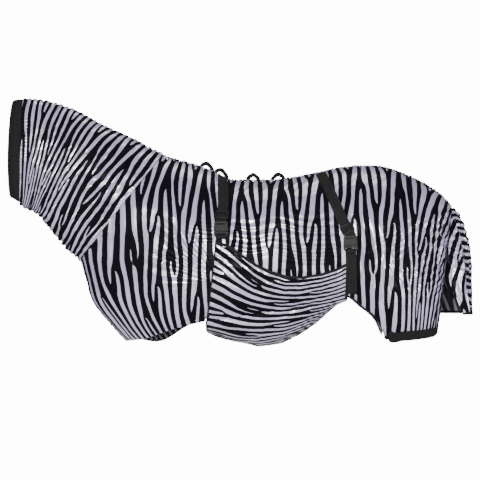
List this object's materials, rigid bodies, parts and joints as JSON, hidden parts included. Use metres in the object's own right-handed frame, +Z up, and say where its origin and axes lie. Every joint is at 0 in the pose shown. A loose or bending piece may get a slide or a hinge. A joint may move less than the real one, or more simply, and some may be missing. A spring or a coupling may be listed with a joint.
{
  "type": "horse fly sheet",
  "caption": "Full-neck horse fly sheet with elastic head band, ruched back strip, belly wrap on two buckled straps, leg bands and tail flap.",
  "frame": {"origin": "the lowest dip of the topline, where the sheet rests on the horse's back", "axes": "+X towards the tail, +Z up, -Y the horse's left side, where the straps fasten"},
  "size_m": [2.123, 0.5842, 1.128],
  "materials": {
    "print": "satin stretch cloth printed with black zebra stripes on a lavender white ground",
    "ruched": "the same printed cloth, gathered on elastic",
    "elastic": "black ribbed elastic",
    "binding": "black folded binding tape",
    "webbing": "black woven polypropylene webbing",
    "buckle": "black moulded acetal, satin"
  },
  "bodies": {
    "sheet": {"face_band": "elastic", "neck_left": "print", "neck_right": "print", "crest_elastic": "elastic", "body_left": "print", "body_right": "print", "back_strip": "ruched", "back_elastic": "elastic", "chest_panel": "print", "front_hem_left": "print", "front_hem_right": "print", "belly_hem_left": "binding", "belly_hem_right": "binding", "flank_binding_left": "binding", "flank_binding_right": "binding", "leg_band_left": "elastic", "leg_band_right": "elastic", "keeper_loop_1": "webbing", "keeper_loop_2": "webbing", "keeper_loop_3": "webbing", "keeper_loop_4": "webbing", "front_strap": "webbing", "rear_strap": "webbing", "front_socket": "buckle", "rear_socket": "buckle"},
    "front_slider": {"front_slider": "buckle"},
    "front_latch": {"front_latch": "buckle", "front_latch_loop": "webbing"},
    "front_prong_fore": {"front_prong_fore": "buckle"},
    "front_prong_aft": {"front_prong_aft": "buckle"},
    "rear_slider": {"rear_slider": "buckle"},
    "rear_latch": {"rear_latch": "buckle", "rear_latch_loop": "webbing"},
    "rear_prong_fore": {"rear_prong_fore": "buckle"},
    "rear_prong_aft": {"rear_prong_aft": "buckle"},
    "wrap": {"belly_wrap": "print", "wrap_top_binding": "binding", "wrap_front_binding": "binding", "wrap_rear_binding": "binding", "front_wrap_tab": "webbing", "rear_strap_lower": "webbing"},
    "tail_flap": {"tail_centre": "print", "tail_wing_left": "print", "tail_wing_right": "print", "tail_binding": "binding"}
  },
  "joints": [
    {"name": "wrap_open", "type": "hinge", "parent": "sheet", "child": "wrap", "pos_m": [-0.156, 0.2105, -0.6397], "axis": [0.9872, 0, 0.1594], "range_deg": [0, 95]},
    {"name": "tail_lift", "type": "hinge", "parent": "sheet", "child": "tail_flap", "pos_m": [0.984, 0, -0.122], "axis": [0, -1, 0], "range_deg": [0, 100]},
    {"name": "front_slider_slide", "type": "slide", "parent": "sheet", "child": "front_slider", "axis": [-0.1083, -0.5146, -0.8505], "range_m": [-0.035, 0]},
    {"name": "front_latch_release", "type": "slide", "parent": "sheet", "child": "front_latch", "axis": [-0.0018, -0.2043, -0.9789], "range_m": [0, 0.045]},
    {"name": "front_prong_fore_squeeze", "type": "hinge", "parent": "front_latch", "child": "front_prong_fore", "pos_m": [-0.10708, -0.27741, -0.23327], "axis": [0.1046, 0.9735, -0.2033], "range_deg": [0, 6], "stiffness_Nm_per_rad": 0.2},
    {"name": "front_prong_aft_squeeze", "type": "hinge", "parent": "front_latch", "child": "front_prong_aft", "pos_m": [-0.06416, -0.28184, -0.23242], "axis": [-0.1046, -0.9735, 0.2033], "range_deg": [0, 6], "stiffness_Nm_per_rad": 0.2},
    {"name": "rear_slider_slide", "type": "slide", "parent": "sheet", "child": "rear_slider", "axis": [0.4424, -0.1516, -0.8839], "range_m": [-0.035, 0]},
    {"name": "rear_latch_release", "type": "slide", "parent": "sheet", "child": "rear_latch", "axis": [0.034, 0.0289, -0.999], "range_m": [0, 0.045]},
    {"name": "rear_prong_fore_squeeze", "type": "hinge", "parent": "rear_latch", "child": "rear_prong_fore", "pos_m": [0.47689, -0.28644, -0.29818], "axis": [-0.0284, 0.9992, 0.0279], "range_deg": [0, 6], "stiffness_Nm_per_rad": 0.2},
    {"name": "rear_prong_aft_squeeze", "type": "hinge", "parent": "rear_latch", "child": "rear_prong_aft", "pos_m": [0.51999, -0.28525, -0.29668], "axis": [0.0284, -0.9992, -0.0279], "range_deg": [0, 6], "stiffness_Nm_per_rad": 0.2}
  ]
}
